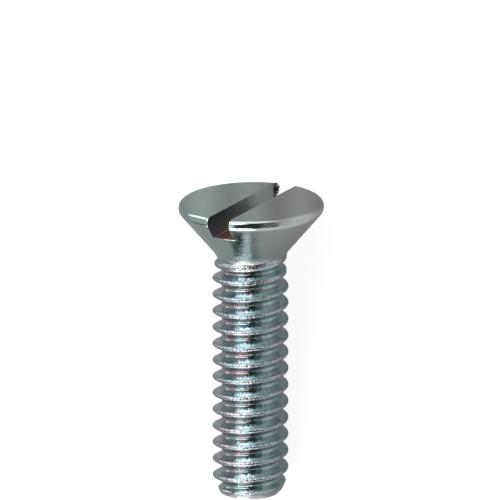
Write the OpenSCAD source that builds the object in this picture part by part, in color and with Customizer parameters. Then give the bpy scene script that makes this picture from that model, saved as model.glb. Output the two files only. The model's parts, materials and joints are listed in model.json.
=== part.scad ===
// Slotted flat head machine screw, lying at rest on a surface.
// The screw is described upright, with the flat face of its head at height 0 and its tip below. It is
// then laid down along X, its head towards +X and its tip lower: the rim of its head, at the two corners
// of the slot, and the thread near its tip touch the surface.

/* [Head] */
// Diameter of the head at its widest circle
head_d = 8.97; // [7:0.01:11]
// Angle across the whole countersunk cone
cone_angle = 80; // [78:1:100]
// Depth of the rim below the flat face, before its edges are rounded
rim_h = 0.56; // [0.45:0.01:1]
// Radius of the rounded edge between the flat face and the rim
rim_top_r = 0.28; // [0.05:0.01:0.3]
// Radius of the rounded edge between the rim and the cone
rim_cone_r = 0.45; // [0.05:0.01:0.6]

/* [Slot] */
// Width of the driver slot
slot_w = 1.4; // [0.8:0.01:2]
// Depth of the driver slot below the flat face
slot_h = 1.42; // [0.6:0.01:1.8]

/* [Shank] */
// Length of the screw from the flat face to the tip
screw_len = 18.6; // [12:0.1:24]
// Diameter of the plain neck under the cone
neck_d = 4.23; // [3.9:0.01:4.5]
// Length of the plain neck between its fillet and the thread
neck_len = 0; // [0:0.05:3]
// Radius of the fillet between the cone and the neck
neck_fillet_r = 0.1; // [0.1:0.05:0.8]

/* [Thread] */
// Distance from one crest of the thread to the next
pitch = 1.0583; // [0.8:0.0001:1.3]
// Diameter across the crests of the thread
crest_d = 4.7; // [4.62:0.01:4.82]
// Diameter at the roots of the thread
root_d = 3.54; // [3.2:0.01:3.7]
// Share of the pitch that the rounded crest takes
crest_share = 0.28; // [0.1:0.01:0.3]
// Share of the pitch that the rounded root takes
root_share = 0.2; // [0.08:0.01:0.3]
// Length over which the thread rises out of the neck
runout_len = 0.8; // [0.5:0.05:3]
// Depth below the flat face of a crest, on the side that crest_turn gives
crest_depth = 4.859; // [4:0.001:6]
// Angle of that side round the axis, counted from the slot's lower end
crest_turn = 118.7; // [0:0.1:360]

/* [Tip] */
// Diameter of the flat end of the tip
tip_d = 3.82; // [3:0.01:4.2]
// Angle between the tip's chamfer and the axis
tip_angle = 23; // [15:1:60]

/* [Hidden] */

// Sides of the thread in one turn
turn_steps = 40;
// How much thinner the threaded rod is than the neck where it leaves it
rod_step = 0.02;
// How far the neck reaches over the rod
neck_overlap = 0.02;
// How far a cutting solid passes the surface that it cuts
cut_margin = 1;

head_r = head_d / 2;
neck_r = neck_d / 2;
crest_r = crest_d / 2;
root_r = root_d / 2;
tip_r = tip_d / 2;
half_cone = cone_angle / 2;

// Distances from a corner of the head's section to the ends of its rounded edge
rim_tangent = rim_cone_r * tan(half_cone / 2);
neck_tangent = neck_fillet_r * tan(half_cone / 2);

// Depths at which the cone would meet the neck, and at which the thread begins
cone_end = rim_h + (head_r - neck_r) / tan(half_cone);
thread_start = cone_end + neck_tangent + neck_len;

// How far the rounded root and crest rise or fall at their edges, as shares of the thread's height
root_bow = 0.06;
crest_bow = 0.07;
// Share of the pitch along the top of the crest
crest_flat = crest_share / 3;
// Profile of the thread over one pitch: share of the pitch, and share of the thread's height
profile = [
    [0, 0],
    [root_share / 2, root_bow],
    [(1 - crest_share) / 2, 1 - crest_bow],
    [(1 - crest_flat) / 2, 1],
    [(1 + crest_flat) / 2, 1],
    [(1 + crest_share) / 2, 1 - crest_bow],
    [1 - root_share / 2, root_bow]
];
strands = len(profile);

// The helix begins inside the head, one turn above the thread's start, and ends past the tip
rod_top = thread_start - pitch;
rod_steps = ceil(turn_steps * ((screw_len - rod_top) / pitch + 0.3));
rod_turn = crest_turn + 360 * ((crest_depth - rod_top) / pitch - 0.5);

// Smooth step from 0 to 1
function ease(t) = let (u = min(max(t, 0), 1)) u * u * (3 - 2 * u);

// Radius of the threaded rod at a depth, for a share of the thread's height
function rod_r(depth, share) =
    let (
        blank_r = neck_r - rod_step,
        full_r = root_r + (crest_r - root_r) * share,
        grown_r = blank_r + (full_r - blank_r) * ease((depth - thread_start) / runout_len),
        chamfer_r = tip_r + max(screw_len - depth, 0) * tan(tip_angle)
    )
    min(grown_r, chamfer_r);

// Point of the thread, at a step along the helix and on a strand of its profile
function thread_point(step, strand) =
    let (
        turn = step / turn_steps,
        depth = rod_top + pitch * (turn + profile[strand][0]),
        angle = rod_turn - 360 * turn,
        r = rod_r(depth, profile[strand][1])
    )
    [r * cos(angle), r * sin(angle), -depth];

// The lying head touches the surface where the slot cuts the rounded edge between the rim and the cone
slot_rim_r = sqrt(pow(head_r, 2) - pow(slot_w / 2, 2));
rest_rim = rim_h - rim_tangent;

// Slope of the axis when the head and a point of the thread at a radius and a depth both touch
function lean(r, depth) =
    let (rise = slot_rim_r - rim_cone_r - r, run = depth - rest_rim)
    atan(rise / run) + asin(rim_cone_r / norm([rise, run]));

// The thread touches with the point, on the side of the slot's lower end, that gives the least slope
lower_side = rod_turn / 360;
leans = [
    for (turn = [0 : floor(rod_steps / turn_steps)])
        for (point = profile)
            let (depth = rod_top + pitch * (turn + lower_side - floor(lower_side) + point[0]))
                if (depth < screw_len) lean(rod_r(depth, point[1]), depth)
];
rest_tilt = min(leans);
// Height of the flat face's centre, and the lying screw's reach along X from it to the head and the tip
face_height = rest_rim * sin(rest_tilt) + (slot_rim_r - rim_cone_r) * cos(rest_tilt) + rim_cone_r;
head_reach = rim_top_r * (1 - cos(rest_tilt)) + (slot_rim_r - rim_top_r) * sin(rest_tilt);
tip_reach = screw_len * cos(rest_tilt) + tip_r * sin(rest_tilt);

// Threaded rod: its strands run along the helix, and each turn's last strand meets the next turn's
// first one. Its upper end is buried in the head, and its lower end passes the tip.
module threaded_rod() {
    first_strand = rod_steps + turn_steps + 1;
    function at(step, strand) =
        strand == 0 ? step
        : strand == strands ? step + turn_steps
        : first_strand + (strand - 1) * (rod_steps + 1) + step;
    function rim(step) = concat(
        [for (i = [0 : turn_steps]) at(step + i, 0)],
        [for (s = [strands - 1 : -1 : 1]) at(step, s)]
    );
    points = concat(
        [for (i = [0 : rod_steps + turn_steps]) thread_point(i, 0)],
        [for (s = [1 : strands - 1]) for (i = [0 : rod_steps]) thread_point(i, s)],
        [[0, 0, -rod_top - pitch / 2], [0, 0, -rod_top - pitch * (rod_steps / turn_steps + 0.5)]]
    );
    top_centre = len(points) - 2;
    low_centre = len(points) - 1;
    top_rim = rim(0);
    low_rim = rim(rod_steps);
    rim_size = len(top_rim);
    faces = concat(
        [for (s = [0 : strands - 1]) for (i = [0 : rod_steps - 1])
            [at(i, s), at(i, s + 1), at(i + 1, s + 1)]],
        [for (s = [0 : strands - 1]) for (i = [0 : rod_steps - 1])
            [at(i, s), at(i + 1, s + 1), at(i + 1, s)]],
        [for (k = [0 : rim_size - 1]) [top_rim[k], top_rim[(k + 1) % rim_size], top_centre]],
        [for (k = [0 : rim_size - 1]) [low_rim[(k + 1) % rim_size], low_rim[k], low_centre]]
    );
    polyhedron(points = points, faces = faces, convexity = 8);
}

// Threaded shank: the rod, cut square at the tip
module shank() {
    past_tip = rod_top + pitch * (rod_steps / turn_steps + 1) - screw_len + cut_margin;
    difference() {
        threaded_rod();
        translate([-head_r, -head_r, -screw_len - past_tip])
            cube([head_d, head_d, past_tip]);
    }
}

// Half section of the head and the neck, with true arcs at its edges
module head_section() {
    neck_end = thread_start + neck_overlap;
    difference() {
        union() {
            polygon([
                [0, 0],
                [head_r - rim_top_r, 0],
                [head_r, -rim_top_r],
                [head_r, -rim_h + rim_tangent],
                [head_r - rim_tangent * sin(half_cone), -rim_h - rim_tangent * cos(half_cone)],
                [neck_r + neck_tangent * sin(half_cone), -cone_end + neck_tangent * cos(half_cone)],
                [neck_r, -cone_end - neck_tangent],
                [neck_r, -neck_end],
                [0, -neck_end]
            ]);
            translate([head_r - rim_top_r, -rim_top_r])
                circle(r = rim_top_r, $fn = 48);
            // Only the lower half of this circle, because the rest could rise above the flat face
            intersection() {
                translate([head_r - rim_cone_r, -rim_h + rim_tangent])
                    circle(r = rim_cone_r, $fn = 48);
                translate([0, -cone_end])
                    square([head_d, cone_end - rim_h + rim_tangent]);
            }
        }
        translate([neck_r + neck_fillet_r, -cone_end - neck_tangent])
            circle(r = neck_fillet_r, $fn = 48);
    }
}

// Driver slot, cut straight across the flat face
module slot() {
    translate([-head_r - cut_margin, -slot_w / 2, -slot_h])
        cube([head_d + 2 * cut_margin, slot_w, slot_h + cut_margin]);
}

module head() {
    difference() {
        rotate_extrude($fn = 180)
            head_section();
        slot();
    }
}

module screw() {
    color("silver")
        translate([(tip_reach - head_reach) / 2, 0, face_height])
            rotate([0, 90 - rest_tilt, 0])
                union() {
                    head();
                    shank();
                }
}

screw();
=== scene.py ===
# %% [markdown]
# # A zinc plated flat head machine screw
# The real object is one piece of steel wire. A die upsets one end into a countersunk head, a saw cuts the
# slot, and two flat dies roll the thread. Then it is dipped in zinc. This lesson follows the same order:
# first the frame that says where the screw lies, then the blank, the thread, the slot, and last the plating
# and the studio round it.

# %% Load the frame
import json
import math

import bmesh
import bpy
import numpy as np
from mathutils import Matrix, Vector


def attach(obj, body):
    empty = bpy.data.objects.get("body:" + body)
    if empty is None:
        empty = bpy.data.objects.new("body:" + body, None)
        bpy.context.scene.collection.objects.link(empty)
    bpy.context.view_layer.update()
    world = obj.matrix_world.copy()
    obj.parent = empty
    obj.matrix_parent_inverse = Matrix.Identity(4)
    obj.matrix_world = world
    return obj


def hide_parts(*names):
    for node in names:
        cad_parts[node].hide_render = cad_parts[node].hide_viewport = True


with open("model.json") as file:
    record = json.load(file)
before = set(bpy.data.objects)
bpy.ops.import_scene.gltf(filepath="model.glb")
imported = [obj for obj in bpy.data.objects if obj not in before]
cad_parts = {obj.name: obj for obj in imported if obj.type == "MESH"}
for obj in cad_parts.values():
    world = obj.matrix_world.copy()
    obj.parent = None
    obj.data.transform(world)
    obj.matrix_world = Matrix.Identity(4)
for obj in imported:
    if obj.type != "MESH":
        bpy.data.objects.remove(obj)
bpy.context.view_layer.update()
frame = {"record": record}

# %% [markdown]
# ## Where the screw lies
# A screw can't stand on its tip, so it lies on the rim of its head and on its thread. The record names two
# flat faces, one on the head and one on the tip. The line between their centres is the screw's axis, and
# every later step measures along it: depth below the flat face, and radius from the axis. Taking the axis
# from the record, and not from numbers typed in by hand, keeps the mesh on the frame if the screw changes.

# %% Find the axis
MM = 0.001


def mount_place(name):
    """Centre of a flat face and the way it faces. The slot takes the centre of the head's face away, so its
    mount is beside the slot, at a y of its own. The axis has y = 0."""
    mount = next(m for m in frame["record"]["mounts"] if m["name"] == name)
    x, _, z = mount["pos_m"]
    return Vector((x, 0, z)), Vector(mount["axis"]).normalized()


face_centre, head_way = mount_place("head_face")
tip_centre, _ = mount_place("tip_face")
screw_len = (face_centre - tip_centre).length / MM
side_way = Vector((0, 1, 0))
slot_low_way = side_way.cross(head_way)
upright_turned = Matrix((slot_low_way, side_way, head_way)).transposed().to_4x4()
upright_to_lying = Matrix.Translation(face_centre) @ upright_turned
lean = math.degrees(math.asin(head_way.z))
print(f"Axis leans {lean:.2f} degrees, screw is {screw_len:.2f} mm long")

# %% [markdown]
# ## The camera
# The photograph looks at the screw from a little above its head, almost without perspective, with the slot
# turned to one side. Here the screw lies down, so the same view looks down on it from over its tip. The
# camera is placed by two angles round the screw's own axis, and its long lens keeps the thread equally wide
# from head to tip, as it is in the photograph.

# %% Place the camera
PHOTO_SIZE = 500
PX_PER_MM = 16.23
SENSOR = 36
CAMERA_FAR = 1.0
CAMERA_CLIP = (0.01, 10)
VIEW_RISE = math.radians(16.5)
VIEW_TURN = math.radians(28.7)
FACE_PX = Vector((250.45, 201.85))

view_out = -slot_low_way * math.cos(VIEW_TURN) - side_way * math.sin(VIEW_TURN)
view_back = view_out * math.cos(VIEW_RISE) + head_way * math.sin(VIEW_RISE)
view_up = head_way * math.cos(VIEW_RISE) - view_out * math.sin(VIEW_RISE)
view_right = view_up.cross(view_back)

camera_data = bpy.data.cameras.new("camera")
camera = bpy.data.objects.new("camera", camera_data)
bpy.context.scene.collection.objects.link(camera)
bpy.context.scene.camera = camera
camera_data.sensor_width = SENSOR
camera_data.lens = SENSOR * CAMERA_FAR / (PHOTO_SIZE / PX_PER_MM * MM)
camera_data.clip_start, camera_data.clip_end = CAMERA_CLIP
off_px = FACE_PX - Vector((PHOTO_SIZE / 2, PHOTO_SIZE / 2))
aim = face_centre - (view_right * off_px.x - view_up * off_px.y) * MM / PX_PER_MM
view_turned = Matrix((view_right, view_up, view_back)).transposed().to_4x4()
camera.matrix_world = Matrix.Translation(aim + view_back * CAMERA_FAR) @ view_turned
look_down = math.degrees(math.asin(view_back.z))
print(f"Camera looks down at {look_down:.1f} degrees with a {camera_data.lens:.0f} mm lens")

# %% [markdown]
# ## The blank
# Turned and headed steel is a profile spun round an axis, so the head is a list of rings: flat face, rounded
# edge, rim, second rounded edge, cone, fillet and neck. A ring is a depth and a radius. Arcs are made from
# their two corners by a small helper, because each edge catches its own line of light, and a chamfer of one
# flat strip would show.

# %% Sizes of the head
HEAD_R = 4.485
FACE_UP = 0.05
CONE_HALF = math.radians(40)
RIM_H = 0.51
RIM_TOP_R = 0.34
RIM_CONE_R = 0.45
RIM_TOP_STEPS = 12
RIM_CONE_STEPS = 10
THREAD_START = 3.13
CONE_ROWS = 24
SIDES = 144


def cone_radius(depth):
    return HEAD_R - (depth - RIM_H) * math.tan(CONE_HALF)


def arc(centre, radius, start, end, steps):
    """Rings of a rounded edge: start and end are angles from straight out, towards the head."""
    angles = np.radians(np.linspace(start, end, steps + 1))
    return [(centre[0] - radius * math.sin(a), centre[1] + radius * math.cos(a)) for a in angles]


def head_rings():
    half = math.degrees(CONE_HALF)
    tangent = RIM_CONE_R * math.tan(CONE_HALF / 2)
    rings = arc((RIM_TOP_R - FACE_UP, HEAD_R - RIM_TOP_R), RIM_TOP_R, 90, 0, RIM_TOP_STEPS)
    rings += arc((RIM_H - tangent, HEAD_R - RIM_CONE_R), RIM_CONE_R, 0, -half, RIM_CONE_STEPS)
    depths = np.linspace(rings[-1][0], THREAD_START, CONE_ROWS + 1)[1:-1]
    return rings + [(depth, cone_radius(depth)) for depth in depths]


rings = head_rings()
print(len(rings), "rings from the flat face down the cone")

# %% [markdown]
# ## The thread
# A rolled thread is one V shaped groove wound round the shank. It could be modelled by a Screw modifier,
# but the fade under the head and the chamfer at the tip are easier as a formula: the radius at any depth and
# angle. The formula knows how far it is to the next crest along the helix, and gives back a rounded crest,
# straight flanks and a narrow root.

# %% Sizes of the thread
PITCH = 1.0583
CREST_R = 2.35
CREST_FLAT = 0.17
CREST_ROUND = 0.13
ROOT_R = 1.775
ROOT_ROUND = 0.22
FLANK_SLOPE = 1.83
CREST_DEPTH = 4.859
CREST_TURN = math.radians(118.7)
FIRST_CREST_R = 2.225
FULL_FROM = 4.35
FULL_OVER = 0.4
FIRST_SAG = 0.15
SAG_FROM = 3.8
SAG_OVER = 0.7
NECK_R = 2.085
NECK_SLOPE = 0.5
NECK_DEPTH = 3.5
BLEND = 0.08
TIP_R = 1.91
TIP_SLOPE = math.tan(math.radians(23))
TIP_BLEND = 0.06
print("Thread is", round(CREST_R - ROOT_R, 3), "mm deep")

# %% Soft corners
def soft_min(a, b, reach):
    """The smaller of two values, rounded where they cross."""
    blend = np.clip(0.5 + 0.5 * (b - a) / reach, 0, 1)
    return b + (a - b) * blend - reach * blend * (1 - blend)


def soft_max(a, b, reach):
    return -soft_min(-a, -b, reach)


def smooth_step(t):
    t = np.clip(t, 0, 1)
    return t * t * (3 - 2 * t)


corner_loss = -soft_min(0, 0, BLEND)
print(f"A corner rounded by {BLEND} mm loses {corner_loss:.3f} mm")

# %% Radius of the thread
def thread_radius(depth, angle):
    """Radius of the shank in mm at a depth in mm and an angle in radians from the slot's lower end."""
    crest_at = CREST_DEPTH + PITCH * (CREST_TURN - angle) / (2 * math.pi)
    sag = FIRST_SAG * (1 - smooth_step((depth - SAG_FROM) / SAG_OVER))
    off = np.abs((depth - sag - crest_at + PITCH / 2) % PITCH - PITCH / 2)
    top = FIRST_CREST_R + (CREST_R - FIRST_CREST_R) * smooth_step((depth - FULL_FROM) / FULL_OVER)
    ridge = soft_min(top, CREST_R + FLANK_SLOPE * (CREST_FLAT / 2 - off), CREST_ROUND)
    groove = soft_max(ridge, np.full_like(off, ROOT_R), ROOT_ROUND)
    neck = NECK_R - NECK_SLOPE * (depth - NECK_DEPTH)
    blank = soft_max(groove, neck, BLEND)
    shank = soft_max(blank, cone_radius(depth), BLEND)
    return soft_min(shank, TIP_R + (screw_len - depth) * TIP_SLOPE, TIP_BLEND)


PROBE_DEPTH = 10
probe = PROBE_DEPTH + np.linspace(0, PITCH, 9)
print("Radii over one pitch:", np.round(thread_radius(probe, np.zeros_like(probe)), 2))

# %% [markdown]
# ## One skin from head to tip
# The rows of the thread's mesh follow the helix, so that each crest is a clean edge loop. The head and the
# tip have level rings. To join the two kinds, the rows simply run on past both ends and their depth is
# clamped there: rows that pile up on the last level ring are merged into it.

# %% Build the skin
ROWS = 28
TIP_EDGE_R = 0.05
TIP_EDGE_STEPS = 4
OVERRUN = 1.2


def ring_points(depth, radius, angles):
    depth = np.broadcast_to(depth, angles.shape)
    return np.stack([radius * np.cos(angles), radius * np.sin(angles), -depth], axis=-1)


def screw_skin():
    turns = np.arange(SIDES) / SIDES
    angles = -2 * math.pi * turns
    last = screw_len - TIP_EDGE_R
    levels = [ring_points(d, r, angles) for d, r in rings]
    first_row = math.floor(-OVERRUN * ROWS)
    last_row = math.ceil(((last - THREAD_START) / PITCH + OVERRUN) * ROWS)
    for row in range(first_row, last_row):
        depth = np.clip(THREAD_START + PITCH * (row / ROWS + turns), THREAD_START, last)
        levels.append(ring_points(depth, thread_radius(depth, angles), angles))
    for depth, radius in arc((last, -TIP_EDGE_R), TIP_EDGE_R, 0, -90, TIP_EDGE_STEPS)[1:]:
        levels.append(ring_points(depth, thread_radius(np.full(SIDES, last), angles) + radius, angles))
    return np.concatenate(levels), len(levels)


points, level_count = screw_skin()
print(level_count, "rows of", SIDES, "points")

# %% Join the rows into faces
def screw_faces(level_count):
    """Faces between the rows. A row that follows the helix ends one turn further down than it began, so its
    last point is joined to the first point of the row one pitch below."""
    first_thread = len(rings)
    last_thread = level_count - 1 - TIP_EDGE_STEPS
    levels = np.arange(level_count)
    threaded = (levels >= first_thread) & (levels <= last_thread)
    wrap = np.where(threaded, np.minimum(levels + ROWS, last_thread), levels)
    here = np.arange(SIDES)
    faces = []
    for level in range(level_count - 1):
        upper, lower = level * SIDES + here, (level + 1) * SIDES + here
        next_upper = np.append(upper[1:], wrap[level] * SIDES)
        next_lower = np.append(lower[1:], wrap[level + 1] * SIDES)
        faces.append(np.stack([upper, next_upper, next_lower, lower], axis=-1))
    caps = [list(range(SIDES)), list(range((level_count - 1) * SIDES, level_count * SIDES))]
    return [*np.concatenate(faces).tolist(), *caps]


skin_faces = screw_faces(level_count)
print(len(skin_faces), "faces before the piled up rows are merged")

# %% Turn points and faces into an object
def mesh_from(name, points, faces, merge=0.0):
    """A mesh object in the row frame from points in the screw's own upright frame, in mm."""
    mesh = bpy.data.meshes.new(name)
    mesh.from_pydata((points * MM).tolist(), [], faces)
    mesh.transform(upright_to_lying)
    bm = bmesh.new()
    bm.from_mesh(mesh)
    bmesh.ops.remove_doubles(bm, verts=bm.verts, dist=merge * MM)
    bmesh.ops.dissolve_degenerate(bm, dist=merge * MM, edges=bm.edges)
    bmesh.ops.recalc_face_normals(bm, faces=bm.faces)
    bm.to_mesh(mesh)
    bm.free()
    made = bpy.data.objects.new(name, mesh)
    bpy.context.scene.collection.objects.link(made)
    return made


# %% [markdown]
# ## A head that isn't quite straight
# The head of this screw leans by less than a degree, as if the punch that made it stood a little askew. The
# mesh could be bent with a Simple Deform modifier. A small formula on the points does the same for the head
# and, later, for the burr on it, and it fades out along the neck so that the thread stays straight.

# %% Lean the head
HEAD_LEAN = math.radians(0.75)
LEAN_FROM = 2.8
LEAN_OVER = 1.2
FACE_SHIFT = 0.05
SHIFT_DEPTH = 2.8
SKIN_MERGE = 0.0005


def lean_head(points):
    """Lean the head and shift it to one side, as the camera sees it, both fading out towards the thread."""
    right = np.array([math.sin(VIEW_TURN), -math.cos(VIEW_TURN), 0])
    head = HEAD_LEAN * (1 - smooth_step((-points[:, 2] - LEAN_FROM) / LEAN_OVER))[:, None]
    shift = FACE_SHIFT * np.clip(1 + points[:, 2] / SHIFT_DEPTH, 0, 1)[:, None] * right
    across, down = points @ right, points[:, 2]
    return points + shift + head * (across[:, None] * np.array([0, 0, 1]) - down[:, None] * right)


points = lean_head(points)
screw = mesh_from("screw_skin", points, skin_faces, merge=SKIN_MERGE)
loop_edges = np.empty(len(screw.data.loops), dtype=np.int32)
screw.data.loops.foreach_get("edge_index", loop_edges)
open_edges = int((np.bincount(loop_edges) != 2).sum())
print(len(screw.data.polygons), "faces, edges that don't join two faces:", open_edges)

# %% [markdown]
# ## The slot
# A saw cuts the slot right across the head, so here too it is cut: a box is taken away with an exact Boolean.
# The saw leaves edges that are nearly sharp. The zinc rounds them a little, which is what makes them glint,
# so the new edges get a very narrow bevel.

# %% Saw the slot
SLOT_W = 1.46
SLOT_OFF = -0.13
SLOT_H = 1.42
SAW_REACH = 6
SAW_ABOVE = 1


def box_points(low, high):
    (x1, y1, z1), (x2, y2, z2) = low, high
    return np.array([(x, y, z) for z in (z1, z2) for y in (y1, y2) for x in (x1, x2)])


# Corners of a box are counted along x, then y, then z
BOX_FACES = [(0, 2, 3, 1), (4, 5, 7, 6), (0, 1, 5, 4), (2, 6, 7, 3), (0, 4, 6, 2), (1, 3, 7, 5)]
saw_low = (-SAW_REACH, SLOT_OFF - SLOT_W / 2, -SLOT_H)
saw_high = (SAW_REACH, SLOT_OFF + SLOT_W / 2, SAW_ABOVE)
saw = mesh_from("saw", box_points(saw_low, saw_high), BOX_FACES)


def apply_modifiers(obj):
    evaluated = obj.evaluated_get(bpy.context.evaluated_depsgraph_get())
    made = bpy.data.meshes.new_from_object(evaluated)
    obj.modifiers.clear()
    obj.data = made


cut = screw.modifiers.new("slot", "BOOLEAN")
cut.operation, cut.solver, cut.object = "DIFFERENCE", "EXACT", saw
apply_modifiers(screw)
bpy.data.objects.remove(saw)
print("After the saw:", len(screw.data.polygons), "faces")

# %% Mark the slot's edges
SHARP_ANGLE = math.radians(35)
NEAR_BED = 0.1
NEAR_WALL = 0.01


def mark_slot_edges(obj):
    """Give the sharp edges in and round the slot a bevel weight, and count them."""
    mesh = obj.data
    to_upright = upright_to_lying.inverted()
    weights = mesh.attributes.new("bevel_weight_edge", "FLOAT", "EDGE")
    bm = bmesh.new()
    bm.from_mesh(mesh)
    marked = 0
    for edge in bm.edges:
        if len(edge.link_faces) == 2 and edge.calc_face_angle() > SHARP_ANGLE:
            middle = to_upright @ ((edge.verts[0].co + edge.verts[1].co) / 2) / MM
            if middle.z > -SLOT_H - NEAR_BED and abs(middle.y - SLOT_OFF) < SLOT_W / 2 + NEAR_WALL:
                weights.data[edge.index].value = 1
                marked += 1
    bm.free()
    return marked


print("Slot edges:", mark_slot_edges(screw))

# %% Round the slot's edges
SLOT_EDGE = 0.03
EDGE_SEGMENTS = 2

edge_round = screw.modifiers.new("edge", "BEVEL")
edge_round.limit_method, edge_round.width, edge_round.segments = "WEIGHT", SLOT_EDGE * MM, EDGE_SEGMENTS
edge_round.use_clamp_overlap = False
apply_modifiers(screw)
screw.data.shade_smooth()
screw.data.set_sharp_from_angle(angle=SHARP_ANGLE)
even = screw.modifiers.new("even shading", "WEIGHTED_NORMAL")
even.keep_sharp = True
apply_modifiers(screw)
print("Finished skin:", len(screw.data.polygons), "faces")

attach(screw, "root")
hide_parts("screw")

# %% [markdown]
# ## What the saw left
# The saw came out at the far end of the slot and pushed a ragged burr before it. It is a thin strip of metal
# along the end of one wall, with a torn outer edge, so it is built as a strip: a row of small triangular
# sections, each with its own reach.

# %% Sizes of the burr
BURR_DEPTH = 1.0
BURR_ABOVE = 0.02
BURR_STEPS = 22
BURR_REACH = 0.15
BURR_THICK = 0.09
BURR_SUNK = 0.06
BURR_BITE = 0.01
BURR_DROOP = 0.05
BURR_SEED = 7
TEAR_RANGE = (0.35, 1.2)
BEND_RANGE = (-0.24, 0.0)
EVEN_OUT = [0.25, 0.5, 0.25]
SWELL_START = 0.12
SWELL_SPAN = 0.9
SWELL_POWER = 0.6
EDGE_DROP = 0.10
EDGE_DROP_TO = 0.25
CORNERS = 3
print("Burr is", BURR_DEPTH, "mm long in", BURR_STEPS, "steps")

# %% Shape of the burr
def torn_values(rng, value_range):
    """Random values along the burr, each evened out with its neighbours."""
    return np.convolve(rng.uniform(*value_range, BURR_STEPS + len(EVEN_OUT)), EVEN_OUT, "valid")


def burr_points():
    """Triangular sections down the wall: two corners sunk in the head and one that sticks out."""
    rng = np.random.default_rng(BURR_SEED)
    wall = SLOT_OFF + SLOT_W / 2
    torn = torn_values(rng, TEAR_RANGE)
    bent = torn_values(rng, BEND_RANGE)
    sections = []
    for t, tear, bend in zip(np.linspace(0, 1, BURR_STEPS + 1), torn, bent):
        depth = BURR_DEPTH * t - BURR_ABOVE
        rim_r = HEAD_R - EDGE_DROP * max(0, 1 - depth / EDGE_DROP_TO)
        skin_r = rim_r if depth < RIM_H else cone_radius(depth)
        root = math.sqrt(skin_r ** 2 - wall ** 2) - BURR_SUNK
        swell = math.sin(math.pi * min(1, SWELL_START + SWELL_SPAN * t)) ** SWELL_POWER
        sections.append([
            (root, wall + BURR_THICK, -depth),
            (root, wall - BURR_BITE, -depth),
            (root + BURR_REACH * swell * tear, wall + bend, -depth - BURR_DROOP * t),
        ])
    return lean_head(np.array(sections).reshape(-1, 3))


def burr_faces():
    """The two end sections, and the faces between each section and the next."""
    last = CORNERS * BURR_STEPS
    faces = [(0, 2, 1), (last, last + 1, last + 2)]
    for step in range(BURR_STEPS):
        for side in range(CORNERS):
            here = CORNERS * step + side
            there = CORNERS * step + (side + 1) % CORNERS
            faces.append((here, there, there + CORNERS, here + CORNERS))
    return faces


print("Burr has", len(burr_faces()), "faces to join")

# %% Make the burr
BURR_MERGE = 0.0001
LEAST_HEIGHT = 0.01 * MM

burr = mesh_from("slot_burr", burr_points(), burr_faces(), merge=BURR_MERGE)
for corner in burr.data.vertices:
    corner.co.z = max(corner.co.z, LEAST_HEIGHT)
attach(burr, "root")
print("Burr:", len(burr.data.polygons), "faces")

# %% [markdown]
# ## Zinc and chromate
# The steel is plated with zinc and passivated in chromate. The film is so thin that it shows interference
# colours, as oil on water does: teal on one flank, purple and brown in the roots. These colours could be
# painted on by hand. Here each place gets a thickness from its own position on the screw, with some noise,
# and one ramp turns thickness into colour, so that neighbours always blend as in a real film. The nodes for
# this are many and alike, so a few helpers that make and join them come first.

# %% Helpers for nodes
def new_group(name, inputs, outputs):
    """A shader node group with named sockets, and its input and output nodes."""
    tree = bpy.data.node_groups.new(name, "ShaderNodeTree")
    for label, kind, value in inputs:
        socket = tree.interface.new_socket(label, in_out="INPUT", socket_type=f"NodeSocket{kind}")
        if value is not None:
            socket.default_value = value
    for label, kind in outputs:
        tree.interface.new_socket(label, in_out="OUTPUT", socket_type=f"NodeSocket{kind}")
    return tree, tree.nodes.new("NodeGroupInput"), tree.nodes.new("NodeGroupOutput")


def wire(tree, value, socket):
    """Link an output to a socket, or set the socket to a plain value."""
    if isinstance(value, bpy.types.NodeSocket):
        tree.links.new(value, socket)
    else:
        socket.default_value = value


def wired_node(tree, kind, **values):
    """A node of a kind, with its inputs linked or set by name."""
    node = tree.nodes.new(kind)
    for label, value in values.items():
        wire(tree, value, node.inputs[label.replace("_", " ")])
    return node


def math_node(tree, operation, *values):
    node = tree.nodes.new("ShaderNodeMath")
    node.operation = operation
    for socket, value in zip(node.inputs, values):
        wire(tree, value, socket)
    return node.outputs[0]


def product(tree, first, *others):
    for other in others:
        first = math_node(tree, "MULTIPLY", first, other)
    return first


# %% Helpers for directions and places
def dot_node(tree, vector, direction):
    """How far a vector reaches in a direction."""
    node = tree.nodes.new("ShaderNodeVectorMath")
    node.operation = "DOT_PRODUCT"
    wire(tree, vector, node.inputs[0])
    node.inputs[1].default_value = direction
    return node.outputs["Value"]


def split_node(tree, vector):
    return wired_node(tree, "ShaderNodeSeparateXYZ", Vector=vector).outputs


def join_node(tree, x, y, z):
    return wired_node(tree, "ShaderNodeCombineXYZ", X=x, Y=y, Z=z).outputs[0]


# %% Helpers for masks and colours
def range_node(tree, value, low, high, to_low=0.0, to_high=1.0):
    """Map a value smoothly from one range to another. It stays level outside the range."""
    node = wired_node(tree, "ShaderNodeMapRange", Value=value, From_Min=low, From_Max=high, To_Min=to_low,
                      To_Max=to_high)
    node.interpolation_type = "SMOOTHSTEP"
    return node.outputs["Result"]


def noise_node(tree, vector, scale, detail=2.0, roughness=0.5):
    return wired_node(tree, "ShaderNodeTexNoise", Vector=vector, Scale=scale, Detail=detail,
                      Roughness=roughness).outputs["Fac"]


def blend_values(tree, factor, a, b):
    """a where the factor is 0, b where it is 1."""
    return wired_node(tree, "ShaderNodeMix", Factor=factor, A=a, B=b).outputs[0]


def blend_colours(tree, factor, a, b):
    """a where the factor is 0, b where it is 1."""
    node = tree.nodes.new("ShaderNodeMix")
    node.data_type = "RGBA"
    wire(tree, factor, node.inputs["Factor"])
    wire(tree, a, node.inputs["A"])
    wire(tree, b, node.inputs["B"])
    return node.outputs[2]


def place_group(tree, group, **values):
    node = tree.nodes.new("ShaderNodeGroup")
    node.node_tree = group
    for label, item in values.items():
        wire(tree, item, node.inputs[label])
    return node.outputs


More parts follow.
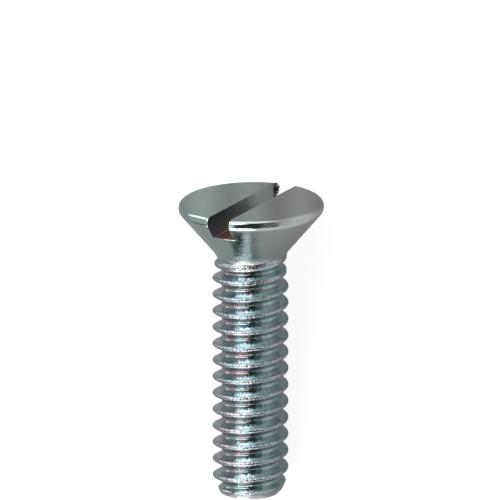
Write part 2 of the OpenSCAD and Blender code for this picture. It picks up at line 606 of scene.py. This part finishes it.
# %% [markdown]
# ## Where a point lies on the screw
# Film, grain and stains all depend on where a point is: how deep below the flat face, how far from the axis,
# and how far from the nearest crest. The thread's own formula gives that last one, as a share of the pitch
# between -0.5 and 0.5 with the crest at 0. A UV map could carry these values too, but it would have seams,
# and a formula has none.

# %% Where on the screw
def screw_place_group():
    tree, _, out = new_group("Place on the screw", [], [
        ("Millimetres", "Vector"), ("Depth", "Float"), ("Radius", "Float"), ("Phase", "Float"),
        ("Across", "Float")])
    coordinates = tree.nodes.new("ShaderNodeTexCoord")
    offset = tree.nodes.new("ShaderNodeVectorMath")
    offset.operation = "SUBTRACT"
    wire(tree, coordinates.outputs["Object"], offset.inputs[0])
    offset.inputs[1].default_value = face_centre
    x, y, z = [dot_node(tree, offset.outputs[0], way / MM) for way in (slot_low_way, side_way, head_way)]
    depth = math_node(tree, "MULTIPLY", z, -1.0)
    square = math_node(tree, "ADD", math_node(tree, "POWER", x, 2.0), math_node(tree, "POWER", y, 2.0))
    turn = math_node(tree, "DIVIDE", math_node(tree, "ARCTAN2", y, x), 2 * math.pi)
    pitches = math_node(tree, "DIVIDE", math_node(tree, "SUBTRACT", depth, CREST_DEPTH), PITCH)
    from_crest = math_node(tree, "SUBTRACT", turn, CREST_TURN / (2 * math.pi) - 0.5)
    along = math_node(tree, "ADD", pitches, from_crest)
    values = {
        "Millimetres": join_node(tree, x, y, z),
        "Depth": depth,
        "Radius": math_node(tree, "SQRT", square),
        "Phase": math_node(tree, "SUBTRACT", math_node(tree, "FLOORED_MODULO", along, 1.0), 0.5),
        "Across": dot_node(tree, offset.outputs[0], view_right / MM),
    }
    for label, value in values.items():
        wire(tree, value, out.inputs[label])
    return tree


SCREW_PLACE = screw_place_group()
print("Group", SCREW_PLACE.name, "puts out", [s.name for s in SCREW_PLACE.interface.items_tree])

# %% [markdown]
# ## Colours of the film
# A chromate film that grows thicker goes from yellowish to bluish, teal, green and purple. Such colours could
# be worked out from the film's true thickness, but would be hard to match by eye. A ramp keeps their order,
# and each colour in it can be set by itself. All are pale, since the film is over bright metal.

# %% Colours of the film
FILM_COLOURS = [
    (0.00, (0.62, 0.56, 0.42)),
    (0.15, (0.62, 0.60, 0.56)),
    (0.30, (0.61, 0.61, 0.66)),
    (0.45, (0.58, 0.62, 0.65)),
    (0.60, (0.47, 0.61, 0.65)),
    (0.72, (0.50, 0.61, 0.57)),
    (0.84, (0.56, 0.56, 0.62)),
    (1.00, (0.57, 0.46, 0.50)),
]


def film_group():
    tree, inlet, out = new_group("Chromate film", [("Thickness", "Float", 0.3)], [("Color", "Color")])
    ramp = tree.nodes.new("ShaderNodeValToRGB")
    spots = ramp.color_ramp.elements
    while len(spots) < len(FILM_COLOURS):
        spots.new(0.5)
    for spot, (place, colour) in zip(spots, FILM_COLOURS):
        spot.position, spot.color = place, (*colour, 1)
    wire(tree, inlet.outputs["Thickness"], ramp.inputs["Fac"])
    wire(tree, ramp.outputs["Color"], out.inputs["Color"])
    return tree


FILM = film_group()
print("Group", FILM.name, "has", len(FILM_COLOURS), "colours")

# %% [markdown]
# ## Grain and tool marks
# Two things roughen the metal. The bath leaves fine pits and nodules everywhere, and the die that pressed the
# cone left its own turning marks on it, as fine rings. To model them would take a mesh many times as dense,
# so they are heights in mm for a bump. The rings are noise that changes fast with depth and slowly round the
# cone, which gives broken rings and not perfect ones.

# %% Grain of the plating
GRAIN_DETAIL = 2.0
GRAIN_ROUGHNESS = 0.6


def grain_group():
    """Height in mm of the fine pits and nodules that the bath leaves."""
    inputs = [("Millimetres", "Vector", None), ("Size", "Float", 0.1), ("Height", "Float", 0.001)]
    tree, inlet, out = new_group("Plating grain", inputs, [("Height", "Float")])
    scale = math_node(tree, "DIVIDE", 1.0, inlet.outputs["Size"])
    fine = noise_node(tree, inlet.outputs["Millimetres"], scale, GRAIN_DETAIL, GRAIN_ROUGHNESS)
    wire(tree, product(tree, fine, inlet.outputs["Height"]), out.inputs["Height"])
    return tree


GRAIN = grain_group()
print("Group", GRAIN.name, "has", len(GRAIN.nodes), "nodes")

# %% Marks of the tools
RINGS_PER_MM = 14.0
RINGS_BY_RADIUS = 0.5
RINGS_BY_SIDE = 0.6
RING_HEIGHT = 0.008


def tool_marks_group():
    """Height in mm of the rings on the cone, where the die's own turning marks were pressed in."""
    inputs = [("Millimetres", "Vector", None), ("Depth", "Float", 0.0), ("Radius", "Float", 0.0)]
    tree, inlet, out = new_group("Tool marks", inputs, [("Height", "Float")])
    along = product(tree, inlet.outputs["Depth"], RINGS_PER_MM)
    outward = product(tree, inlet.outputs["Radius"], RINGS_BY_RADIUS)
    sideways = product(tree, split_node(tree, inlet.outputs["Millimetres"])[1], RINGS_BY_SIDE)
    stretched = join_node(tree, along, outward, sideways)
    ring_noise = noise_node(tree, stretched, 1.0, GRAIN_DETAIL, GRAIN_ROUGHNESS)
    wire(tree, product(tree, ring_noise, RING_HEIGHT), out.inputs["Height"])
    return tree


TOOL_MARKS = tool_marks_group()
print("Group", TOOL_MARKS.name, "makes about", RINGS_PER_MM, "rings a mm")

# %% [markdown]
# ## Sorts of surface
# A plated screw isn't alike all over. The crests and the lower flanks are full of pits and carry painted dark
# specks, the upper flanks are smooth, the roots hold the thickest film, and the flat face has the least
# grain. Each could be a material of its own, but then they would meet at hard lines. Here each sort of
# surface gets a mask from 0 to 1 with a soft border. A pair of numbers below is where a mask begins and where
# it is full, in mm, or in pitches for a phase.

# %% Start the zinc material
# Scale, detail and roughness of each noise, the scale counted for 1 mm
CLOUDS = (0.6, 3.0, 0.6)
PATCHES = (1.3, 2.0, 0.5)
SPECKS = (9.0, 2.0, 0.6)
FINE_SPECKS = (9.0, 1.0, 0.5)

zinc = bpy.data.materials.new("zinc_plate")
zinc.use_nodes = True
tree = zinc.node_tree
shader = tree.nodes["Principled BSDF"]
shader.inputs["Metallic"].default_value = 1
place = place_group(tree, SCREW_PLACE)
mm = place["Millimetres"]
along_slot, across_slot, _ = split_node(tree, mm)
cloud = noise_node(tree, mm, *CLOUDS)
patch = noise_node(tree, mm, *PATCHES)
speck = noise_node(tree, mm, *SPECKS)
fine_speck = noise_node(tree, mm, *FINE_SPECKS)
print("Material", zinc.name, "has", len(tree.nodes), "nodes before its masks")

# %% Masks of the head and the thread
SHANK_DEPTHS = (3.15, 3.7)
TIP_DEPTHS = (screw_len - 0.15, screw_len - 0.4)
ROOT_RADII = (2.10, 1.85)
OFF_CREST_PHASES = (0.10, 0.22)
LOWER_PHASES = (-0.10, 0.02)
RIGHT_ACROSS = (-0.3, 0.5)
FACE_DEPTHS = (0.2, 0.05)
CONE_FROM_DEPTHS = (0.25, 0.6)
CONE_TO_DEPTHS = (4.3, 3.6)

on_shank = range_node(tree, place["Depth"], *SHANK_DEPTHS)
before_tip = range_node(tree, place["Depth"], *TIP_DEPTHS)
in_root = product(tree, range_node(tree, place["Radius"], *ROOT_RADII), before_tip)
off_crest = range_node(tree, math_node(tree, "ABSOLUTE", place["Phase"]), *OFF_CREST_PHASES)
lower_flank = range_node(tree, place["Phase"], *LOWER_PHASES)
right_side = range_node(tree, place["Across"], *RIGHT_ACROSS)
on_face = range_node(tree, place["Depth"], *FACE_DEPTHS)
on_cone = product(tree, range_node(tree, place["Depth"], *CONE_FROM_DEPTHS),
                  range_node(tree, place["Depth"], *CONE_TO_DEPTHS))
print("With the masks of head and thread, the material has", len(tree.nodes), "nodes")

# %% [markdown]
# ## Thickness and tone of the film
# The film's thickness wanders with a cloudy noise, and it is greatest in the roots. On the thread it also
# changes from the camera's left to its right: that change is a painted tint, which stands in for the colour
# each side mirrors. The head's film and tint change from left to right as well, and the flat face is lighter
# and darker in soft upright bands and darker towards the right. Dark specks on the thread are painted shade
# in its pits and painted dark glints of its grain. All this could be drawn in one picture wrapped round the
# screw. As sums of masks it can be changed one part at a time. A tone is how bright a surface is beside the
# film's own colour, and a set of four numbers is two that go in and the two that they become. Some tones are
# painted light and shade: the upper flanks are lightened to brighten their highlight, and the crests and
# roots are darkened to dim theirs.

# %% Thickness of the film
UPPER_FILM = (0.34, 0.66, 0.22, 0.66)
LOWER_FILM = (0.35, 0.65, 0.24, 0.50)
ROOT_FILM = (0.3, 0.66, 0.62, 1.0)
HEAD_FILM = (0.35, 0.65, 0.26, 0.60)
RIGHT_UPPER_REFLECTION_TINT = 0.14
RIGHT_ROOT_REFLECTION_TINT = -0.22
HEAD_THINNER = 0.03
HEAD_THINNER_PER_MM = 0.045

# Painted tint: on the camera's right side of the thread, the film is thicker on the upper flanks and thinner
# in the roots. This stands in for the colour that side mirrors.
upper_cloud = math_node(tree, "MULTIPLY_ADD", right_side, RIGHT_UPPER_REFLECTION_TINT, cloud)
root_patch = math_node(tree, "MULTIPLY_ADD", right_side, RIGHT_ROOT_REFLECTION_TINT, patch)
flank_film = blend_values(tree, lower_flank, range_node(tree, upper_cloud, *UPPER_FILM),
                          range_node(tree, cloud, *LOWER_FILM))
shank_film = blend_values(tree, in_root, flank_film, range_node(tree, root_patch, *ROOT_FILM))
head_thinner = math_node(tree, "MULTIPLY_ADD", place["Across"], HEAD_THINNER_PER_MM, HEAD_THINNER)
head_film = math_node(tree, "SUBTRACT", range_node(tree, cloud, *HEAD_FILM), head_thinner)
film = blend_values(tree, on_shank, head_film, shank_film)
print("Film in the roots runs from", ROOT_FILM[2], "to", ROOT_FILM[3])

# %% Bands on the flat face
BAND_APART = 3.0
BAND_START = 3.65
BAND_SCALE = 0.8
BAND_SHARE = 0.5
BAND_GAIN = 0.34
FACE_TONE = 0.84
FACE_TONE_PER_MM = -0.026

band_turn = math_node(tree, "MULTIPLY", math_node(tree, "ADD", place["Across"], BAND_START),
                      2 * math.pi / BAND_APART)
wave = math_node(tree, "SINE", band_turn)
bands = math_node(tree, "MULTIPLY_ADD", noise_node(tree, mm, BAND_SCALE), BAND_SHARE,
                  product(tree, wave, BAND_SHARE))
face_tone = math_node(tree, "ADD", math_node(tree, "MULTIPLY_ADD", bands, BAND_GAIN, FACE_TONE),
                      product(tree, place["Across"], FACE_TONE_PER_MM))
print("Bands on the face are", BAND_APART, "mm apart")

# %% Tone of each surface
# Partly painted light and shade: the upper flanks are lightened to brighten their highlight, and the crests
# and the roots are darkened to dim theirs.
CONE_TONE = 0.93
CREST_SHADED_TONE = 0.88
UPPER_LIGHTENED_TONE = 1.06
LOWER_TONE = 0.96
ROOT_SHADED_TONE = 0.86

flank_tone = blend_values(tree, lower_flank, UPPER_LIGHTENED_TONE, LOWER_TONE)
ridge_tone = blend_values(tree, off_crest, CREST_SHADED_TONE, flank_tone)
shank_tone = blend_values(tree, in_root, ridge_tone, ROOT_SHADED_TONE)
tone = blend_values(tree, on_shank, blend_values(tree, on_face, CONE_TONE, face_tone), shank_tone)
print("Tones run from", min(ROOT_SHADED_TONE, CREST_SHADED_TONE), "to", UPPER_LIGHTENED_TONE)

# %% Painted dark specks on the crests
SPECK_SHADE_DEPTHS = (2.75, 3.1)
SPECK_SHADE_UPPER = 0.12
SPECK_SHADE_LOWER = 0.7
SPECK_SHADE_NOISE = (0.50, 0.40)
SPECK_SHADE_DARKER = -0.44
SPECK_FREE_TONE = 1.06

# Painted shade in the pits and painted dark glints of the grain, as dark specks in the base colour: full on
# the crests, less on the lower flanks, little on the upper flanks. The mask pits carries them.
speck_shade_reach = product(tree, range_node(tree, place["Depth"], *SPECK_SHADE_DEPTHS), blend_values(
    tree, off_crest, 1.0, blend_values(tree, lower_flank, SPECK_SHADE_UPPER, SPECK_SHADE_LOWER)))
pits = product(tree, speck_shade_reach, before_tip, range_node(tree, fine_speck, *SPECK_SHADE_NOISE))
tone = product(tree, tone, math_node(tree, "MULTIPLY_ADD", pits, SPECK_SHADE_DARKER, SPECK_FREE_TONE))
print("A pit has", round(SPECK_FREE_TONE + SPECK_SHADE_DARKER, 2), "of the film's brightness")

# %% Colour of the film
HEAD_TEAL = (0.49, 0.62, 0.60, 1)
HEAD_YELLOWISH = (0.585, 0.63, 0.59, 1)
HEAD_TINT_ACROSS = (-3.0, 3.5)
HEAD_TINT_SHARE = 0.8

yellowish = range_node(tree, place["Across"], *HEAD_TINT_ACROSS)
head_tint = blend_colours(tree, yellowish, HEAD_TEAL, HEAD_YELLOWISH)
tint_share = math_node(tree, "MULTIPLY_ADD", on_shank, -HEAD_TINT_SHARE, HEAD_TINT_SHARE)
film_colour = place_group(tree, FILM, Thickness=film)["Color"]
tinted = blend_colours(tree, tint_share, film_colour, head_tint)
toned = tree.nodes.new("ShaderNodeVectorMath")
toned.operation = "SCALE"
wire(tree, tinted, toned.inputs[0])
wire(tree, tone, toned.inputs["Scale"])
print("The film's colour is multiplied by its tone in the node", toned.name)

# %% [markdown]
# ## Inside the slot
# The near end of the slot is darker: painted shade in the grey of its walls, with a brown patch low on the
# walls and a blush of pink on the bed. A painted white glint lies along the bed's front edge, and white
# flecks lie where the darker part ends. A picture of these could be laid on the walls. They are a few masks
# here instead, so that they stay sharp at any size and follow the slot's width and depth.

# %% Masks of the slot
WALL_SKIN = 0.02
BED_SKIN = 0.03
SLOT_SHADE_ENDS = (1.55, 1.05)
SLOT_SHADE_WANDER = 0.8
BROWN_FROM = (-0.8, -1.4)
BROWN_TO = (-3.1, -2.4)
BROWN_DEPTHS = (0.35, 0.9)
BED_EDGE_GLINT_RADII = (3.62, 3.70)
BLUSH_FROM = (-2.3, -2.9)
BLUSH_NOISE = (0.45, 0.55)

off_middle = math_node(tree, "ABSOLUTE", math_node(tree, "SUBTRACT", across_slot, SLOT_OFF))
in_slot = product(tree, range_node(tree, off_middle, SLOT_W / 2 + WALL_SKIN, SLOT_W / 2),
                  range_node(tree, place["Depth"], SLOT_H + BED_SKIN, SLOT_H))
near_end = range_node(tree, math_node(tree, "MULTIPLY_ADD", patch, SLOT_SHADE_WANDER, along_slot), *SLOT_SHADE_ENDS)
brown_from = range_node(tree, along_slot, *BROWN_FROM)
brown_to = range_node(tree, along_slot, *BROWN_TO)
brown_patch = product(tree, brown_from, brown_to, range_node(tree, place["Depth"], *BROWN_DEPTHS))
on_bed = range_node(tree, place["Depth"], SLOT_H - 2 * BED_SKIN, SLOT_H - BED_SKIN)
# Painted highlight: a white glint along the bed's front edge, where it meets the cone.
bed_edge_glint = product(tree, on_bed, range_node(tree, place["Radius"], *BED_EDGE_GLINT_RADII))
blush = product(tree, range_node(tree, speck, *BLUSH_NOISE), range_node(tree, along_slot, *BLUSH_FROM))
print("The slot's mask reaches", WALL_SKIN, "mm into its walls and", BED_SKIN, "mm into its bed")

# %% Colours of the slot
SLOT_SHADE_GREY = (0.42, 0.41, 0.44, 1)
SLOT_BROWN = (0.54, 0.38, 0.24, 1)
BED_GREY = (0.58, 0.58, 0.60, 1)
BED_PINK = (0.70, 0.38, 0.44, 1)
GLINT_AND_FLECK_WHITE = (0.95, 0.95, 1.0, 1)
FLECK_BORDER = (0.02, 0.12)
FLECK_NOISE = (0.56, 0.60)

# Painted shade: at the near end of the slot the walls are grey, with a brown patch low on them, and the bed
# is a paler grey with pink.
wall_shade_and_tint = blend_colours(tree, brown_patch, SLOT_SHADE_GREY, SLOT_BROWN)
slot_shade_and_tint = blend_colours(tree, on_bed, wall_shade_and_tint, blend_colours(tree, blush, BED_GREY, BED_PINK))
slot_shade_and_tint = blend_colours(tree, bed_edge_glint, slot_shade_and_tint, GLINT_AND_FLECK_WHITE)
colour = blend_colours(tree, product(tree, in_slot, near_end), toned.outputs[0], slot_shade_and_tint)
at_border = product(tree, near_end, math_node(tree, "SUBTRACT", 1.0, near_end))
flecks = product(tree, range_node(tree, at_border, *FLECK_BORDER), in_slot,
                 range_node(tree, speck, *FLECK_NOISE))
print("With the slot's stains, the material has", len(tree.nodes), "nodes")

# %% Dark metal at the burr
TORN_GREY = (0.20, 0.20, 0.21, 1)
TORN_FROM = (3.95, 4.15)
TORN_ACROSS = (0.3, 0.02)
TORN_NOISE = (0.60, 0.48)

off_wall = math_node(tree, "ABSOLUTE", math_node(tree, "SUBTRACT", across_slot, SLOT_OFF + SLOT_W / 2))
torn = product(tree, range_node(tree, along_slot, *TORN_FROM), range_node(tree, speck, *TORN_NOISE),
               range_node(tree, off_wall, *TORN_ACROSS))
colour = blend_colours(tree, torn, colour, TORN_GREY)
wire(tree, blend_colours(tree, flecks, colour, GLINT_AND_FLECK_WHITE), shader.inputs["Base Color"])
print("Base Color is linked:", shader.inputs["Base Color"].is_linked)

# %% [markdown]
# ## How rough each surface is
# Bright zinc is almost a mirror. What makes it sparkle is the grain: small slopes that throw the light of the
# studio about. A high roughness alone would look like chalk, so the roughness stays low and the bump does the
# work. It is high on the crests, less so on the lower flanks, small on the upper flanks and the cone, and all
# but gone on the flat face.

# %% Roughness and bump
SHINE = (0.3, 0.7, 0.05, 0.11)
FACE_ROUGH = 0.12
GRAIN_SIZE = 0.15
CREST_GRAIN = 0.050
LOWER_GRAIN = 0.032
UPPER_GRAIN = 0.008
CONE_GRAIN = 0.009
FACE_GRAIN = 0.0015

roughness = blend_values(tree, on_face, range_node(tree, speck, *SHINE), FACE_ROUGH)
wire(tree, roughness, shader.inputs["Roughness"])
flank_grain = blend_values(tree, lower_flank, UPPER_GRAIN, LOWER_GRAIN)
thread_grain = blend_values(tree, off_crest, CREST_GRAIN, flank_grain)
head_grain = blend_values(tree, on_face, CONE_GRAIN, FACE_GRAIN)
grain = blend_values(tree, product(tree, on_shank, before_tip), head_grain, thread_grain)
pores = place_group(tree, GRAIN, Millimetres=mm, Size=GRAIN_SIZE, Height=grain)["Height"]
marks = place_group(tree, TOOL_MARKS, Millimetres=mm, Depth=place["Depth"], Radius=place["Radius"])["Height"]
height = math_node(tree, "ADD", pores, product(tree, marks, on_cone))
bump = wired_node(tree, "ShaderNodeBump", Strength=1.0, Distance=MM, Height=height)
wire(tree, bump.outputs["Normal"], shader.inputs["Normal"])
print("Material", zinc.name, "has", len(tree.nodes), "nodes")

# %% Plate the screw
for plated in (screw, burr):
    plated.data.materials.clear()
    plated.data.materials.append(zinc)
print("Plated:", screw.name, "and", burr.name)

# %% [markdown]
# ## Floor
# Metal shows what is round it, so a studio for metal is built as much for its mirrored picture as for its
# light. The floor is a plain sheet of paper. The camera sees it white, while the lamps find it grey, so that
# the shadow is soft and little light comes back from below. Mirrored in the screw it is dark close by, where
# the screw shades it, and lighter to the right. Real lamps could be moved until the paper looks so, but the
# Light Path node tells these kinds of ray apart and sets each by itself.

# %% Lay the floor
FLOOR_SHADE = 0.2
FLOOR_GLOW = 0.9
FLOOR_MIRRORED = (0.18, 0.45)
FLOOR_LIGHTER = (4, 11)
FLOOR_TIPWARD = 0.05
FLOOR_HALF = 1

bpy.context.scene.view_settings.view_transform = "Standard"
floor_mesh = bpy.data.meshes.new("floor")
floor_corners = [(FLOOR_HALF * x, FLOOR_HALF * y, 0) for x, y in ((-1, -1), (1, -1), (1, 1), (-1, 1))]
floor_mesh.from_pydata(floor_corners, [], [(0, 1, 2, 3)])
floor = bpy.data.objects.new("floor", floor_mesh)
bpy.context.scene.collection.objects.link(floor)
print("Floor:", [round(v, 1) for v in floor.dimensions], "m")

# %% Paper
paper = bpy.data.materials.new("paper")
paper.use_nodes = True
tree = paper.node_tree
tree.nodes.remove(tree.nodes["Principled BSDF"])
plain = tree.nodes.new("ShaderNodeBsdfDiffuse")
plain.inputs["Color"].default_value = (FLOOR_SHADE, FLOOR_SHADE, FLOOR_SHADE, 1)
path = tree.nodes.new("ShaderNodeLightPath")
mirrored = math_node(tree, "MAXIMUM", path.outputs["Is Glossy Ray"], path.outputs["Is Transmission Ray"])
floor_side = Vector((view_right.x, view_right.y, 0)).normalized()
spot = tree.nodes.new("ShaderNodeTexCoord").outputs["Object"]
aside = dot_node(tree, spot, (floor_side + Vector((-FLOOR_TIPWARD, 0, 0))) / MM)
seen_glow = product(tree, path.outputs["Is Camera Ray"], FLOOR_GLOW)
mirrored_glow = product(tree, mirrored, range_node(tree, aside, *FLOOR_LIGHTER, *FLOOR_MIRRORED))
strength = math_node(tree, "ADD", seen_glow, mirrored_glow)
glow = wired_node(tree, "ShaderNodeEmission", Strength=strength)
both = tree.nodes.new("ShaderNodeAddShader")
wire(tree, plain.outputs[0], both.inputs[0])
wire(tree, glow.outputs[0], both.inputs[1])
wire(tree, both.outputs[0], tree.nodes["Material Output"].inputs["Surface"])
floor_mesh.materials.append(paper)
print("Paper glows", FLOOR_GLOW, "for the camera")

# %% [markdown]
# ## The room
# The walls, ceiling and screens of a studio could be modelled as planes. They are far off and only seen in
# the metal, so here they are painted on the world instead. Each is a range of turns round the screw's axis,
# counted from the camera's side with the right as plus, and a range of rises towards its head, in degrees.
# Its strength is added to the base. The camera itself sees plain white.

# %% Panels of the room
SKY_BASE = 0.04
SKY_EDGE = 5
# Turns from and to, rises from and to, and strength
SKY_PANELS = {
    "left wall": ((-150, -62), (-24, 30), 0.46),
    "left wall, shaded": ((-150, -62), (-42, -24), 0.13),
    "left wall, low": ((-150, -62), (-91, -42), 0.7),
    "left wall, high": ((-160, -12), (30, 58), 0.86),
    "beside the camera": ((-62, -28), (-24, 30), 0.8),
    "right wall": ((18, 45), (-30, 58), 0.15),
    "right wall, far": ((45, 130), (-30, 58), 0.55),
    "right wall, low": ((10, 70), (-62, -30), 0.8),
    "seam": ((1, 9), (-62, -30), 0.6),
    "ceiling": ((-181, 181), (58, 91), 1.25),
    "below, left": ((-80, 2), (-91, -60), 1.2),
    "below, right": ((2, 70), (-91, -62), 0.65),
}
print("Panels:", ", ".join(SKY_PANELS))

# %% Paint the room
world = bpy.data.worlds.new("studio")
bpy.context.scene.world = world
world.use_nodes = True
tree = world.node_tree
background = tree.nodes["Background"]
ray = tree.nodes.new("ShaderNodeTexCoord").outputs["Generated"]
degrees = 180 / math.pi
turned = math_node(tree, "ARCTAN2", dot_node(tree, ray, view_right), dot_node(tree, ray, view_out))
raised = math_node(tree, "ARCSINE", dot_node(tree, ray, head_way))
turn = product(tree, turned, degrees)
rise = product(tree, raised, degrees)


def between(value, low, high):
    """1 between two angles, with soft edges."""
    return product(tree, range_node(tree, value, low - SKY_EDGE / 2, low + SKY_EDGE / 2),
                   range_node(tree, value, high + SKY_EDGE / 2, high - SKY_EDGE / 2))


level = SKY_BASE
for turns, rises, brightness in SKY_PANELS.values():
    panel = product(tree, between(turn, *turns), between(rise, *rises))
    level = math_node(tree, "MULTIPLY_ADD", panel, brightness, level)
seen = tree.nodes.new("ShaderNodeLightPath").outputs["Is Camera Ray"]
wire(tree, math_node(tree, "MAXIMUM", level, seen), background.inputs["Strength"])
background.inputs["Color"].default_value = (1, 1, 1, 1)
print(len(SKY_PANELS), "panels painted round the screw")

# %% [markdown]
# ## Lamps
# Three soft boxes make the bright patches: one on the tip's side, one on the head's side, and a weak one from
# behind on the left, which draws the edge of the rim. They could be placed by coordinates. Here their places
# are two angles round the screw, like the camera's, because what counts is where the metal mirrors them.

# %% Hang the soft boxes
BOX_FAR = 0.2
# Name, turn and rise in degrees, width and height in m, and radiance
SOFT_BOXES = [
    ("tip_box", -29, -44, 0.17, 0.12, 3.5),
    ("head_box", -48, 44, 0.17, 0.11, 2.1),
    ("back_box", -126, 33, 0.12, 0.13, 1.2),
]
screw_middle = (face_centre + tip_centre) / 2


def softbox(name, turn, rise, width, height, radiance):
    """A rectangular light that faces the screw, turned and raised round it as the camera is."""
    turn, rise = math.radians(turn), math.radians(rise)
    out = view_out * math.cos(turn) + view_right * math.sin(turn)
    way = out * math.cos(rise) + head_way * math.sin(rise)
    data = bpy.data.lights.new(name, "AREA")
    data.shape, data.size, data.size_y = "RECTANGLE", width, height
    data.energy = radiance * math.pi * width * height
    light = bpy.data.objects.new(name, data)
    bpy.context.scene.collection.objects.link(light)
    side = head_way.cross(out)
    facing = Matrix((side, way.cross(side), way)).transposed().to_4x4()
    light.matrix_world = Matrix.Translation(screw_middle + way * BOX_FAR) @ facing
    light.visible_camera = False
    print(name, "gives", round(data.energy, 3), "W")


for box in SOFT_BOXES:
    softbox(*box)

# %% [markdown]
# ## A black card
# The dark streak down the cone is something dark that the cone mirrors. It could be painted on the metal, but
# then it would stay when the view changes. In a studio it is a flag, a black card held close to the object
# and out of the picture. This one stands square to the axis beyond the tip. The camera, the shadows and
# the paper leave it out, so only the metal knows of it.

# %% Hold the flag
FLAG_DEPTH = 31
# How far each corner is towards the camera and to the right of the axis, in mm
FLAG_CORNERS = [(-6.0, -8.2), (-2.8, -11.2), (3.4, -4.6), (-0.4, -1.2)]
CARD_BLACK = (0.01, 0.01, 0.01, 1)

black = bpy.data.materials.new("black card")
black.use_nodes = True
card_shader = black.node_tree.nodes["Principled BSDF"]
card_shader.inputs["Base Color"].default_value = CARD_BLACK
card_shader.inputs["Specular IOR Level"].default_value = 0
flag_points = [face_centre + (view_out * out + view_right * right - head_way * FLAG_DEPTH) * MM
               for out, right in FLAG_CORNERS]
flag_mesh = bpy.data.meshes.new("flag")
flag_mesh.from_pydata(flag_points, [], [(0, 1, 2, 3)])
flag_mesh.materials.append(black)
card = bpy.data.objects.new("flag", flag_mesh)
bpy.context.scene.collection.objects.link(card)
card.visible_camera = card.visible_shadow = card.visible_diffuse = False
print("Flag stands", round(FLAG_DEPTH - screw_len, 1), "mm beyond the tip")
